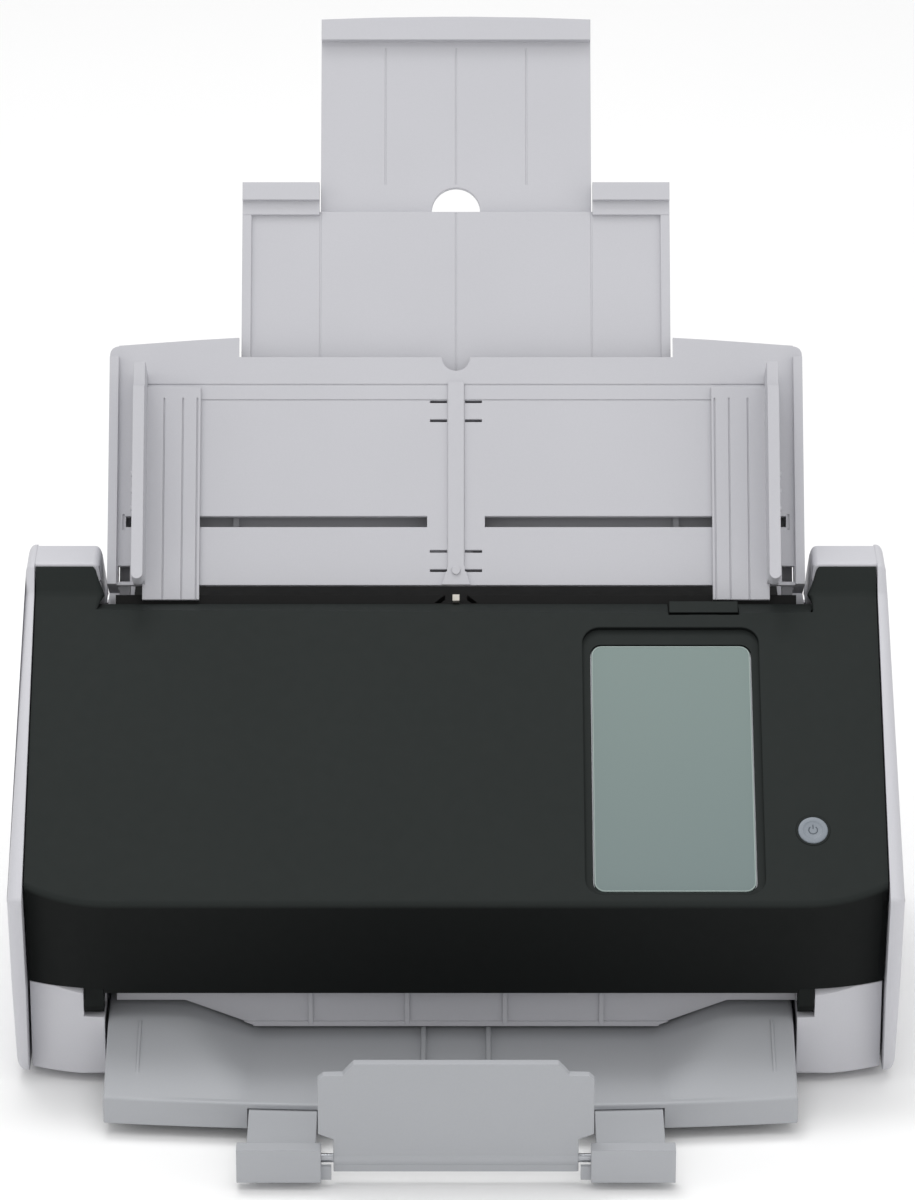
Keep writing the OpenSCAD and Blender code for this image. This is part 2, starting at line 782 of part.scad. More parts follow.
module board_standoffs() {
    color(steel) for (x = [-106, 34], y = [29, 56]) translate([x, y, floor_z + floor_t + eps]) {
        cylinder(h = 10 - floor_z - floor_t - 2 * eps, d = 6);
        cylinder(h = 6, d = 3);
        translate([0, 0, 11.62 - floor_z - floor_t]) cylinder(h = 1.6, d = 5.5);
    }
}

// ---- Chute ----

chute_half = chute_w / 2 + 0.4;     // half the width over the side rails
plate_t = 2.2;                      // thickness of the front plate
chute_len = 90.2;                   // length of the front plate at its middle
chute_bow = 1400;                   // radius of the bowed upper edge
chute_corner_len = 85;              // length of the front plate at its corners
top_centre = 81.2;                  // lower edge of the cut-out for the extensions
ext1_half = 74.9;                   // half the width of each extension
ext2_half = 47.5;
ext2_len = 206.9;                   // upper end of extension 2 and the radius of its edge
ext2_bow = 1100;
rail_h = 2.2;                       // height of the side rails over the front plate
slot = [20.5, 24.4];                // lower and upper edge of the guides' slot
layer1 = -8.2;                      // underside of extension 1
layer2 = -11.0;                     // underside of extension 2
back_h = -13.6;                     // rear face of the chute

// Front plate of the chute with its side rails, as seen square on
module chute_outline() {
    difference() {
        union() {
            rounded_rect(2 * chute_half, chute_corner_len, 3);
            intersection() {
                translate([0, chute_len - chute_bow]) circle(chute_bow, $fn = 360);
                translate([0, chute_len - 14]) square([2 * chute_half - 6, 28], center = true);
            }
        }
        translate([-ext1_half - 0.6, top_centre]) square([2 * ext1_half + 1.2, 20]);
        translate([0, top_centre]) circle(4.9);
    }
}

// Front plate of the chute with side rails, hooks, the guides' slot and the clip slots
module chute() {
    color(chute_grey) difference() {
        on_chute() {
            translate([0, 0, -plate_t]) linear_extrude(plate_t) chute_outline();
            both_sides() {
                // side rails
                translate([chute_half - 3.2, 0, back_h]) cube([3.2, chute_corner_len - 4, rail_h - back_h]);
                translate([ext1_half + 1.2, 79.4, back_h + 1]) cube([2, 5.6, -back_h - 1 - plate_t + eps]);
            }
            // centre rib with a flared foot
            translate([-2.8, 2, -eps]) cube([5.6, 70, 0.9]);
            linear_extrude(0.9) polygon([[-5, 0], [5, 0], [2.8, 7], [-2.8, 7]]);
            translate([0, 5, 0.85]) cylinder(h = 0.6, d = 3);
            both_sides() hook();
        }
        on_chute() {
            both_sides() {
                translate([10, slot[0], -5]) cube([104.2, slot[1] - slot[0], 10]);
                for (s = [4.6, 57.9]) clip_slot(s);
                // opening above the hook at each lower corner
                translate([112.6, 1.2, -4]) cube([4.2, 5.6, 5]);
                translate([114.6, 19.5, -0.5]) cube([0.7, 5.5, 5]);
            }
            translate([0, rack_s, -5]) cylinder(h = 4.2, d = 3.02);
            // step lines across the plate
            both_sides() for (s = [65.4, 70.9]) translate([3, s, -0.2]) cube([109, 0.6, 5]);
        }
    }
}

// Hook at a lower corner, which drops into the body
module hook() {
    translate([113, -7.5, back_h]) cube([3.6, 9, 5]);
    translate([113, -7.5, back_h - 3]) cube([3.6, 3, 3 + eps]);
    translate([113, 0, back_h]) cube([chute_half - 113, 3, 5]);
}

// A C-shaped slot round the tongue of a paper clip
module clip_slot(s) {
    for (d = [0, 6.8]) translate([3.1, s + d, -5]) cube([5.9, 1, 10]);
}

// Rear plate of the chute with a row of vents
module chute_back() {
    color(chute_grey) difference() {
        on_chute() {
            translate([-chute_half + 3.6, 3, back_h]) cube([2 * chute_half - 7.2, 76, 1.8]);
            both_sides() translate([ext1_half + 0.4, 3, back_h]) cube([2.2, 60, 5.6]);
        }
        on_chute() for (s = [14:8:70]) translate([-60, s, back_h - 1]) cube([30, 3, 1.6]);
    }
}

// Wide extension, raised at its two upper corners, with rails behind it for the narrow one
module chute_extension_1() {
    lip_x = ext2_half + 0.4;
    lip_w = ext1_half - lip_x;
    color(chute_grey) difference() {
        on_chute() {
            translate([-ext1_half + 3, 72, layer1]) cube([2 * ext1_half - 6, 63.4, 2]);
            both_sides() {
                translate([ext1_half - 3.2, 72, layer1]) cube([3.2, 71, 3.1]);
                translate([lip_x, 134, layer1]) cube([lip_w, 11, 3.2]);
                translate([lip_x, 139, layer1]) cube([lip_w, 6.4, 4.8]);
                translate([lip_x, 72, layer2 - 0.4]) cube([2, 62, layer1 - layer2 + 0.4 + eps]);
            }
        }
        // shallow lines up the plate
        on_chute() for (x = [-ext2_half, 0, ext2_half])
            translate([x - 0.3, 72, layer1 + 1.85]) cube([0.6, 63, 2]);
    }
}

// Narrow extension with a raised band along its bowed upper edge and a finger hole
module chute_extension_2() {
    color(chute_grey) difference() {
        on_chute() {
            translate([-ext2_half, 122, layer2]) cube([2 * ext2_half, 80, 2.2]);
            intersection() {
                translate([-ext2_half, 198.4, layer2]) cube([2 * ext2_half, 12, 5]);
                translate([0, ext2_len - ext2_bow, layer2]) cylinder(h = 5, r = ext2_bow, $fn = 360);
            }
        }
        on_chute() {
            for (x = [-24.8, 0, 24.8]) translate([x - 0.3, 146, layer2 + 2.05]) cube([0.6, 50, 2]);
            translate([0, 136.4, layer2 - 1]) cylinder(h = 5, d = 17);
        }
    }
}

// ---- Paper guides ----

fin_x = paper_w / 2 - 0.8;          // inner face and thickness of the upright fin
fin_t = 4;
guide_h = 0.25;                     // height of a guide over the chute's plate
rack_s = 22.45;                     // pinion's axis, up the chute
pinion_teeth = 16;
pinion_r = pinion_teeth * tooth_module / 2;
pinion_phase = 90 + 180 / pinion_teeth;
rack_top = -2.6;                    // front face and thickness of the racks
rack_t = 2.2;

// Plate and fin of a paper guide, with a foot through the chute's slot
module guide_plate() {
    on_chute() difference() {
        union() {
            translate([88.6, -5.6, guide_h]) cube([fin_x - 88.6 + 1, 75.6, 2]);
            translate([fin_x, 0, guide_h]) cube([fin_t, 66, 20]);
            translate([fin_x, 8, guide_h]) cube([fin_t, 67, 17.5]);
            translate([fin_x + fin_t / 2, 0, guide_h + 10]) cylinder(h = 10, d = fin_t);
            for (s = [24, 30, 36]) translate([fin_x + fin_t, s, guide_h + 14]) rotate([0, 90, 0])
                cylinder(h = 0.7, d = 2);
            translate([96, slot[0] + 0.3, rack_top - eps])
                cube([12, slot[1] - slot[0] - 0.6, guide_h - rack_top + 2 * eps]);
        }
        for (x = [89.5, 94.5, 101]) translate([x, -6, guide_h + 1.6]) cube([0.5, 72, 1]);
    }
}

// A rack behind the chute. side 1 runs above the pinion and side -1 below it.
module rack(side) {
    on_chute() translate([0, rack_s, rack_top - rack_t]) linear_extrude(rack_t) {
        translate([-6, side > 0 ? pinion_r + 1.25 : -pinion_r - 1.25 - 4]) square([114, 4]);
        for (k = [-6:34]) rack_tooth(side, k * PI * tooth_module);
    }
    // web between the rack and the foot
    on_chute() translate([96, rack_s - (side > 0 ? 2.5 : pinion_r + 5.2), rack_top - rack_t])
        cube([12, pinion_r + 7.7, rack_t]);
}

// A rack tooth at x, left out past the ends of the rack
module rack_tooth(side, x) {
    m = tooth_module;
    half = PI / 4 * m - 0.06;
    root = half + 1.3 * m * tan(pressure);
    tip = half - m * tan(pressure);
    if (x > -5 && x < 94) translate([x, side * pinion_r])
        polygon([[-root, side * 1.3 * m], [-tip, -side * m], [tip, -side * m], [root, side * 1.3 * m]]);
}

module right_paper_guide() {
    color(chute_grey) {
        guide_plate();
        rack(1);
    }
}

// The left guide is the right one turned half round in the chute's plane, with its plate mirrored
module left_paper_guide() {
    color(chute_grey) {
        mirror([1, 0, 0]) guide_plate();
        mirror([1, 0, 0]) rack(-1);
    }
}

module guide_pinion() {
    color(nylon) on_chute() translate([0, rack_s, rack_top - rack_t]) difference() {
        linear_extrude(rack_t) rotate(pinion_phase) gear_outline(pinion_teeth);
        translate([0, 0, -1]) cylinder(h = 5, d = 3 + 2 * run);
    }
}

module pinion_screw() {
    color(steel) on_chute() translate([0, rack_s, 0]) {
        translate([0, 0, rack_top - rack_t - 0.5]) cylinder(h = rack_t + 2, d = 3);
        translate([0, 0, rack_top - rack_t - 1.1]) cylinder(h = 1, d = 6);
    }
}

// ---- Stacker ----

stacker_half = stacker_w / 2;
stacker_mid = -1.8;                 // middle of the stacker's plate
stacker_front = -115.3;             // front edge at the stacker's ends
stacker_bow = 5.7;                  // how far the front edge bows out at its middle
bow_r = (stacker_half ^ 2 + stacker_bow ^ 2) / (2 * stacker_bow);
top_z = 13.9;                       // top, underside and hollow of the stacker's plate
bottom_z = 4.2;
plate_z = 12;
wing_end = stacker_half + 2;        // a little past the stacker's side edges
wing_top = 24.5;                    // height of the wings above the desk
arm_x = [46.2, 68.9];               // inner and outer side of an arm of the extension
arm_top = 11.6;

// Plan outline of the stacker, with its front edge bowed
module stacker_plan(inset = 0) {
    intersection() {
        translate([stacker_mid, stacker_front - stacker_bow + bow_r]) circle(bow_r - inset, $fn = 180);
        translate([stacker_mid - stacker_half + inset, -130]) square([2 * (stacker_half - inset), 75]);
    }
}

// Stacker plate with its raised wings and two ribs, hollow underneath
module stacker() {
    color(tray_grey) difference() {
        union() {
            intersection() {
                translate([0, 0, bottom_z]) linear_extrude(40) stacker_plan();
                union() {
                    span([-wing_end, -130, bottom_z], [wing_end, -50, top_z]);
                    both_sides() wing();
                }
            }
            for (x = [-11, 11]) span([x - 0.8, -100, top_z - eps], [x + 0.8, -62, top_z + 1.4]);
        }
        // hollow underside, with rails left beside the extension
        difference() {
            translate([0, 0, 2]) linear_extrude(plate_z - 2) stacker_plan(2.4);
            both_sides() span([69.5, -124, 6.9], [71.5, -50, 20]);
        }
        span([-69.5, -130, 2], [69.5, -50, plate_z]);
        span([-wing_end - 1, -111.5, 1], [wing_end + 1, -50, 6.9]);
        both_sides() wing_hollow();
    }
}

// The raised wing at the rear of each side slopes down to the centre and to the front
module wing() {
    intersection() {
        yz(60, wing_end)
            polygon([[-55, top_z - 1], [-55, wing_top], [-76, wing_top], [-115, top_z + 0.6],
                     [-122, top_z - 0.4], [-122, top_z - 1]]);
        translate([0, -50, 0]) rotate([90, 0, 0]) linear_extrude(80)
            polygon([[64, top_z - 1], [68, top_z - 0.4], [92.6, wing_top], [wing_end, wing_top],
                     [wing_end, top_z - 1]]);
    }
}

// Space inside a wing
module wing_hollow() {
    roof = wing_top - 2.6;
    intersection() {
        yz(60, stacker_half - 4.2)
            polygon([[-50, 6], [-50, roof], [-75, roof], [-112, 12.4], [-112, 6]]);
        translate([0, -49, 0]) rotate([90, 0, 0]) linear_extrude(80)
            polygon([[72.5, 6], [72.5, 13.4], [94, roof], [130, roof], [130, 6]]);
    }
}

ext_front = -153;                   // front face of the extension
hinge_y = -147.5;                   // stopper's axis
stopper_z = 9.3;
stopper_t = 3.2;

// Two arms with a raised block at the front of each, joined by a bar inside the stacker
module stacker_extension() {
    color(tray_grey) difference() {
        union() {
            both_sides() {
                span([arm_x[0], -150, 7.2], [arm_x[1], -96, arm_top]);
                span([44.3, ext_front, 3], [72, hinge_y, 15]);
                span([44.3, -148, 3], [46.4, -145, arm_top]);
                span([40.9, ext_front + 2, 3], [44.4, -149.6, 8]);
            }
            span([-arm_x[0] - 1, -100, 7.2], [arm_x[0] + 1, -96, arm_top]);
        }
        at_axis([hinge_y, stopper_z]) rod(-60, 60, 3);
    }
}

// The stopper stands on a hub round its pin and folds back onto the stacker
module stopper() {
    color(tray_grey) difference() {
        translate([0, hinge_y, 0]) {
            rotate([90, 0, 0]) translate([0, 0, -stopper_t / 2]) linear_extrude(stopper_t)
                polygon([[-40.2, 5], [40.2, 5], [40.2, 17], [45.2, 19], [45.2, 39], [43.4, 40.6],
                         [37, 40.8], [35.6, 42.6], [33.4, stopper_h], [-33.4, stopper_h],
                         [-35.6, 42.6], [-37, 40.8], [-43.4, 40.6], [-45.2, 39], [-45.2, 19],
                         [-40.2, 17]]);
            translate([0, 0, stopper_z]) rod(-40.2, 40.2, 4.6);
        }
        at_axis([hinge_y, stopper_z]) rod(-60, 60, 3 + 2 * run);
    }
}

module stopper_pin() {
    color(steel) at_axis([hinge_y, stopper_z]) rod(-46.1, 46.1, 3);
}

adf_cover();
cover_inner_guide();
display_glass();
lcd_module();
display_board();
button_ring();
power_button();
button_switch();
upper_scan_unit();
upper_scan_glass();
brake_roller();
feed_pinch_rollers();
eject_pinch_rollers();
cover_bearings();
open_tab();
latch_rod();
latch_hooks();
hinge_pins();
right_side_cover();
left_side_cover();
rear_cover();
rear_ports();
base_tray();
rubber_feet();
case_screws();
exit_guide();
right_frame_plate();
left_frame_plate();
frame_beam();
shaft_bushings();
pick_roller();
feed_roller();
eject_roller();
pick_gear();
feed_gear();
eject_gear();
small_idler_gear();
large_idler_gear();
idler_posts();
motor_pinion();
motor_shaft();
drive_motor();
lower_feed_guide();
sensor_lever();
lower_scan_unit();
lower_scan_glass();
control_board();
board_standoffs();
chute();
chute_back();
chute_extension_1();
chute_extension_2();
right_paper_guide();
left_paper_guide();
guide_pinion();
pinion_screw();
stacker();
stacker_extension();
stopper();
stopper_pin();
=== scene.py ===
import json
import math
import bmesh
import bpy
from mathutils import Euler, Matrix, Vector


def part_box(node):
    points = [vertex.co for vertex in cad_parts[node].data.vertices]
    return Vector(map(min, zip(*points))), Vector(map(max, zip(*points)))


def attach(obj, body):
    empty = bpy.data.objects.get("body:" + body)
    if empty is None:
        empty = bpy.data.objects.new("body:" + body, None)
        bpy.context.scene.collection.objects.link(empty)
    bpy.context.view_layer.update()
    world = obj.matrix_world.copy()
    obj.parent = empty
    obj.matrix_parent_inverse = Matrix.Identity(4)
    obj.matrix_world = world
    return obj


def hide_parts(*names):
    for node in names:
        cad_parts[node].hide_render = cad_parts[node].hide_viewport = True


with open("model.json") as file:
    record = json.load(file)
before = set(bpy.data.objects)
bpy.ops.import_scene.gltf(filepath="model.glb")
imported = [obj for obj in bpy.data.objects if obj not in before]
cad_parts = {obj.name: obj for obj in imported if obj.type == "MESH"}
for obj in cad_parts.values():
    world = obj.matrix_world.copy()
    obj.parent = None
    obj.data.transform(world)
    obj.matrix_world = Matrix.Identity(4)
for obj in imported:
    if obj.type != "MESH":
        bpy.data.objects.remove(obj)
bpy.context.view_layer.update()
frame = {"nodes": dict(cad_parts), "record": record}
nodes = frame["nodes"]
record = frame["record"]
MM = 0.001


# ---- Node helpers ----

class Tree:
    """A material and short ways to add nodes to it."""

    def __init__(self, name):
        self.material = bpy.data.materials.new(name)
        self.material.use_nodes = True
        self.tree = self.material.node_tree
        self.surface = self.tree.nodes["Principled BSDF"]
        self.place = self.node("ShaderNodeTexCoord").outputs["Object"]

    def node(self, kind, values=None, **inputs):
        """A new node, with its settings and its inputs; an underscore stands for a space."""
        made = self.tree.nodes.new(kind)
        for key, value in (values or {}).items():
            setattr(made, key, value)
        for key, value in inputs.items():
            self.put(made.inputs[key.replace("_", " ")], value)
        return made

    def put(self, socket, value):
        """Links an output to a socket, or sets the socket's value."""
        if isinstance(value, bpy.types.NodeSocket):
            self.tree.links.new(value, socket)
        else:
            socket.default_value = value

    def noise(self, size, detail=3.0, roughness=0.5, place=None):
        """Noise whose features are about size metres wide."""
        made = self.node("ShaderNodeTexNoise", Vector=place or self.place, Scale=1 / size,
                         Detail=detail, Roughness=roughness)
        return made.outputs["Fac"]

    def spread(self, value, low, high):
        """A value from 0 to 1 mapped to between low and high."""
        return self.node("ShaderNodeMapRange", Value=value, To_Min=low, To_Max=high).outputs["Result"]

    def mixed(self, factor, a, b):
        """The colour between a and b; the numbered sockets are those of a colour mix."""
        made = self.node("ShaderNodeMix", {"data_type": "RGBA"})
        self.put(made.inputs[0], factor)
        self.put(made.inputs[6], a)
        self.put(made.inputs[7], b)
        return made.outputs[2]

    def bumped(self, height, strength, distance, normal=None):
        """A normal bent by a height, up to distance metres deep."""
        made = self.node("ShaderNodeBump", Height=height, Strength=strength, Distance=distance)
        if normal is not None:
            self.put(made.inputs["Normal"], normal)
        return made.outputs["Normal"]


def rgb(r, g, b):
    """An sRGB colour, 0 to 255, as linear RGBA."""
    def linear(c):
        c /= 255
        return c / 12.92 if c <= 0.04045 else ((c + 0.055) / 1.055) ** 2.4
    return (linear(r), linear(g), linear(b), 1.0)


def shade(colour, by):
    """A colour made lighter or darker."""
    return tuple(c * by for c in colour[:3]) + (1.0,)


def plastic(name, colour, roughness=0.5, drift=0.04, shine=0.35, underside_shade=1.0):
    """Moulded plastic: fine grain, slow drift of colour and roughness, softened edges, and, if asked,
    painted shade on steep and downward faces.
    """
    t = Tree(name)
    slow = t.noise(0.06, 2.0)
    fine = t.noise(0.0006, 2.0, 0.6)
    tone = t.mixed(slow, shade(colour, 1 - drift), shade(colour, 1 + drift))
    tone = t.mixed(t.spread(fine, 0.0, 0.25), tone, shade(colour, 0.8))
    if underside_shade != 1.0:
        # painted shade: faces that stand steeply or look down at the desk are painted darker, as if less
        # light fell on them
        normal = t.node("ShaderNodeNewGeometry").outputs["Normal"]
        up = t.node("ShaderNodeSeparateXYZ", Vector=normal).outputs["Z"]
        painted_shade_mask = t.node("ShaderNodeMapRange", Value=up, From_Min=0.35, From_Max=-0.15)
        tone = t.mixed(painted_shade_mask.outputs["Result"], tone, shade(colour, underside_shade))
    t.put(t.surface.inputs["Base Color"], tone)
    patches = t.noise(0.004, 4.0)
    t.put(t.surface.inputs["Roughness"], t.spread(patches, roughness - 0.06, roughness + 0.08))
    t.put(t.surface.inputs["Specular IOR Level"], shine)
    edge = t.node("ShaderNodeBevel", {"samples": 4}, Radius=0.0004).outputs["Normal"]
    t.put(t.surface.inputs["Normal"], t.bumped(fine, 0.6, 0.00003, edge))
    return t.material


def brushed_steel(name, colour, roughness=0.34):
    """Rolled steel: fine lines along X, and a slow drift of tone."""
    t = Tree(name)
    stretched = t.node("ShaderNodeMapping", Vector=t.place, Scale=(0.04, 1.0, 1.0))
    lines = t.noise(0.0004, 4.0, 0.6, stretched.outputs["Vector"])
    tone = t.mixed(t.noise(0.03), shade(colour, 0.92), shade(colour, 1.06))
    t.put(t.surface.inputs["Base Color"], tone)
    t.put(t.surface.inputs["Metallic"], 1.0)
    t.put(t.surface.inputs["Roughness"], t.spread(lines, roughness - 0.08, roughness + 0.14))
    edge = t.node("ShaderNodeBevel", {"samples": 4}, Radius=0.0003).outputs["Normal"]
    t.put(t.surface.inputs["Normal"], t.bumped(lines, 0.25, 0.00002, edge))
    return t.material


def soft_rubber(name, colour):
    """Rubber: dull, with a fine ground surface and dusty patches."""
    t = Tree(name)
    ground = t.noise(0.0005, 5.0, 0.7)
    dust = t.noise(0.012, 4.0, 0.65)
    t.put(t.surface.inputs["Base Color"], t.mixed(dust, shade(colour, 0.8), shade(colour, 1.5)))
    t.put(t.surface.inputs["Roughness"], t.spread(dust, 0.72, 0.95))
    t.put(t.surface.inputs["Specular IOR Level"], 0.2)
    t.put(t.surface.inputs["Normal"], t.bumped(ground, 0.7, 0.00006))
    return t.material


def solder_mask(name, colour):
    """A circuit board: a green lacquer over a faint grid of copper tracks."""
    t = Tree(name)
    tracks = t.node("ShaderNodeTexBrick", Vector=t.place, Scale=160.0, Mortar_Size=0.06,
                    Color1=colour, Color2=shade(colour, 1.25), Mortar=shade(colour, 1.8))
    t.put(t.surface.inputs["Base Color"], tracks.outputs["Color"])
    t.put(t.surface.inputs["Roughness"], t.spread(t.noise(0.003), 0.28, 0.45))
    t.put(t.surface.inputs["Normal"], t.bumped(tracks.outputs["Fac"], 0.3, 0.00004))
    return t.material


def screen_glass(name):
    """The switched-off display: grey-green under smooth glass, painted lighter up the panel as a painted
    reflection.
    """
    t = Tree(name)
    low, high = (v.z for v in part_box("display_glass"))
    up = t.node("ShaderNodeSeparateXYZ", Vector=t.place).outputs["Z"]
    # painted reflection: the grey-green grows lighter towards the top of the glass
    reflection_fade = t.node("ShaderNodeMapRange", Value=up, From_Min=low, From_Max=high).outputs["Result"]
    tone = t.mixed(reflection_fade, rgb(109, 123, 122), rgb(118, 133, 129))
    haze = t.spread(t.noise(0.05, 3.0), 0.0, 0.25)
    t.put(t.surface.inputs["Base Color"], t.mixed(haze, tone, rgb(104, 121, 122)))
    t.put(t.surface.inputs["Roughness"], t.spread(t.noise(0.02, 3.0), 0.3, 0.4))
    t.put(t.surface.inputs["Specular IOR Level"], 0.3)
    t.put(t.surface.inputs["Normal"], t.bumped(t.noise(0.0015, 2.0), 0.05, 0.00001))
    return t.material


SHELL = plastic("shell_grey", rgb(196, 196, 201))
# the cover's steep and downward faces get painted shade, down to 0.3 of its colour
DARK = plastic("panel_dark", rgb(36, 40, 39), 0.62, drift=0.07, shine=0.12, underside_shade=0.3)
CHUTE = plastic("chute_grey", rgb(190, 190, 195), 0.48)
TRAY = plastic("tray_grey", rgb(170, 172, 176), 0.46)
INNER = plastic("inner_dark", rgb(26, 26, 26), 0.65, shine=0.12)
STEEL = brushed_steel("steel", rgb(172, 174, 178))
RUBBER = soft_rubber("rubber", rgb(26, 26, 28))
NYLON = plastic("nylon", rgb(206, 202, 192))
BOARD = solder_mask("board", rgb(16, 78, 48))
DISPLAY = screen_glass("display_glass")
BUTTON = plastic("button_grey", rgb(126, 133, 141), 0.35)
RIM = plastic("screen_rim", rgb(150, 164, 160), 0.3)
SYMBOL = plastic("button_mark", rgb(84, 92, 100))
GLASS = plastic("scan_glass", rgb(90, 104, 100), 0.1)

# the material of each material slot, then slot, body and material of each CAD node
SLOTS = {"shell_grey": SHELL, "panel_dark": DARK, "chute_grey": CHUTE, "tray_grey": TRAY,
         "inner_dark": INNER, "steel": STEEL, "rubber": RUBBER, "nylon": NYLON, "board": BOARD,
         "display_glass": DISPLAY, "button_grey": BUTTON, "scan_glass": GLASS}
SLOT_OF = {part["node"]: part["material_slot"] for part in record["subparts"]}
BODY_OF = {name: body for body, members in record["behaviour"]["bodies"].items() for name in members}
MATERIAL_OF = {name: SLOTS[slot] for name, slot in SLOT_OF.items()}
for name, material in MATERIAL_OF.items():
    for slot in nodes[name].material_slots:
        slot.material = material


# ---- Reworked casing parts ----

def cleaned(name):
    """A mesh-editing copy of a CAD node's mesh, with flat areas joined into single faces."""
    source = nodes[name]
    bm = bmesh.new()
    bm.from_mesh(source.data)
    bmesh.ops.transform(bm, matrix=source.matrix_world, verts=bm.verts)
    bmesh.ops.remove_doubles(bm, verts=bm.verts, dist=MM * 0.01)
    bmesh.ops.dissolve_limit(bm, angle_limit=math.radians(0.6), verts=bm.verts, edges=bm.edges)
    return bm


def fold(edge):
    """The angle between an edge's two faces, in degrees."""
    return math.degrees(edge.calc_face_angle(0)) if len(edge.link_faces) == 2 else 0


def soften(bm, radius, segments, where=None, least=20):
    """Rounds the edges folded by more than least degrees for which where(middle in mm) holds."""
    chosen = [edge for edge in bm.edges if fold(edge) > least
              and (where is None or where((edge.verts[0].co + edge.verts[1].co) / (2 * MM)))]
    bmesh.ops.bevel(bm, geom=chosen, offset=radius * MM, segments=segments, profile=0.5,
                    affect="EDGES", clamp_overlap=True)


def finished(bm, name, material, node, stands_for=True):
    """Turns an edited mesh into a smooth-shaded piece that moves with a CAD node, and may stand for it."""
    bmesh.ops.remove_doubles(bm, verts=bm.verts, dist=MM * 0.005)
    bmesh.ops.dissolve_degenerate(bm, dist=MM * 0.005, edges=bm.edges)
    bmesh.ops.recalc_face_normals(bm, faces=bm.faces)
    mesh = bpy.data.meshes.new(name)
    bm.to_mesh(mesh)
    bm.free()
    for face in mesh.polygons:
        face.use_smooth = True
    mesh.set_sharp_from_angle(angle=math.radians(28))
    obj = bpy.data.objects.new(name, mesh)
    bpy.context.collection.objects.link(obj)
    weighted = obj.modifiers.new("even_shading", "WEIGHTED_NORMAL")
    weighted.keep_sharp = True
    mesh.materials.append(material)
    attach(obj, BODY_OF[node])
    if stands_for:
        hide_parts(node)


def sloped(degrees):
    """The directions up a slope that rises to the rear, and square off it."""
    a = math.radians(degrees)
    return Vector((0, math.cos(a), math.sin(a))), Vector((0, -math.sin(a), math.cos(a)))


LIP = Vector((0, 18.8, 141.4))      # lower edge of the chute's paper surface, in mm
UP_CHUTE, OFF_CHUTE = sloped(54)
PLATE_T = 2.2                       # thickness of the chute's plate


def thin_lip(bm):
    """Slants the chute plate's lower edge, so that it ends in a thin lip over the throat."""
    for v in bm.verts:
        rel = v.co / MM - LIP
        behind = abs(rel.dot(OFF_CHUTE) + PLATE_T) < 0.4
        if behind and abs(rel.dot(UP_CHUTE)) < 0.3 and abs(rel.x) < 112.5:
            v.co += UP_CHUTE * 2.4 * MM


def moulding(name, radius):
    """A CAD node's shape with all its edges rounded."""
    bm = cleaned(name)
    if name == "chute":
        thin_lip(bm)
    soften(bm, radius, 3)
    finished(bm, name + "_moulding", MATERIAL_OF[name], name)


# ---- Lofted casing parts ----

def rounded(corners, steps=5):
    """A closed outline with an arc at each corner; corners are (u, v, radius)."""
    points = []
    for i, (u, v, radius) in enumerate(corners):
        here = Vector((u, v))
        back = (Vector(corners[i - 1][:2]) - here).normalized()
        ahead = (Vector(corners[(i + 1) % len(corners)][:2]) - here).normalized()
        half = back.angle(ahead) / 2
        centre = here + (back + ahead).normalized() * radius / math.sin(half)
        start = here + back * radius / math.tan(half) - centre
        turn = (math.pi - 2 * half) * (1 if ahead.cross(back) > 0 else -1)
        for k in range(steps + 1):
            a = turn * k / steps
            points.append(centre + Vector((start.x * math.cos(a) - start.y * math.sin(a),
                                           start.x * math.sin(a) + start.y * math.cos(a))))
    return points


def inset(points, by):
    """An anticlockwise outline moved inwards."""
    moved = []
    for i, here in enumerate(points):
        along = (points[(i + 1) % len(points)] - points[i - 1]).normalized()
        moved.append(here + Vector((-along.y, along.x)) * by)
    return moved


def joined(bm, a, b):
    """Closes the strip between two rings of the same number of vertices."""
    count = len(a)
    for i in range(count):
        j = (i + 1) % count
        bm.faces.new((a[i], a[j], b[j], b[i]))


def slab(corners, low, high, round_low, round_high, place, steps=6):
    """A plate between two depths, with a rounded edge at each end.

    place(u, v, depth) gives a point's position in mm.
    """
    outline = rounded(corners)
    area = sum(a.x * b.y - b.x * a.y for a, b in zip(outline, outline[1:] + outline[:1]))
    if area < 0:
        outline.reverse()
    turns = [math.radians(90 * k / steps) for k in range(steps + 1)]
    rings = [(low, 0)]
    if round_low:
        rings = [(low + round_low * (1 - math.cos(a)), round_low * (1 - math.sin(a))) for a in turns]
    if round_high:
        rings += [(high - round_high * (1 - math.sin(a)), round_high * (1 - math.cos(a))) for a in turns]
    else:
        rings.append((high, 0))
    bm = bmesh.new()
    loops = [[bm.verts.new(Vector(place(p.x, p.y, depth)) * MM) for p in inset(outline, by)]
             for depth, by in rings]
    for a, b in zip(loops, loops[1:]):
        joined(bm, a, b)
    bm.faces.new(loops[0][::-1])
    bm.faces.new(loops[-1])
    return bm


# corners of a side wall and of the cap on its shoulder, as (y, z, radius) in mm
SIDE_OUTLINE = [(-80, 2.5, 7), (77, 2.5, 5), (80, 9, 3), (35.5, 149.5, 3), (31.5, 151, 3),
                (14.6, 151, 2.4), (9.2, 142.4, 4), (-87.9, 73.2, 2.6), (-80.6, 36, 25)]
CAP_OUTLINE = [(15.5, 143.4, 0.6), (26, 127, 1), (43, 127, 1), (36.4, 146.6, 2), (31.4, 150.9, 3),
               (15.5, 150.9, 1.4)]
WALL_IN = 144.95                    # inner and outer face of a side wall
WALL_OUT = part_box("right_side_cover")[1].x / MM
CAP_IN, CAP_OUT = 121.4, 145.5      # ends of a shoulder's cap


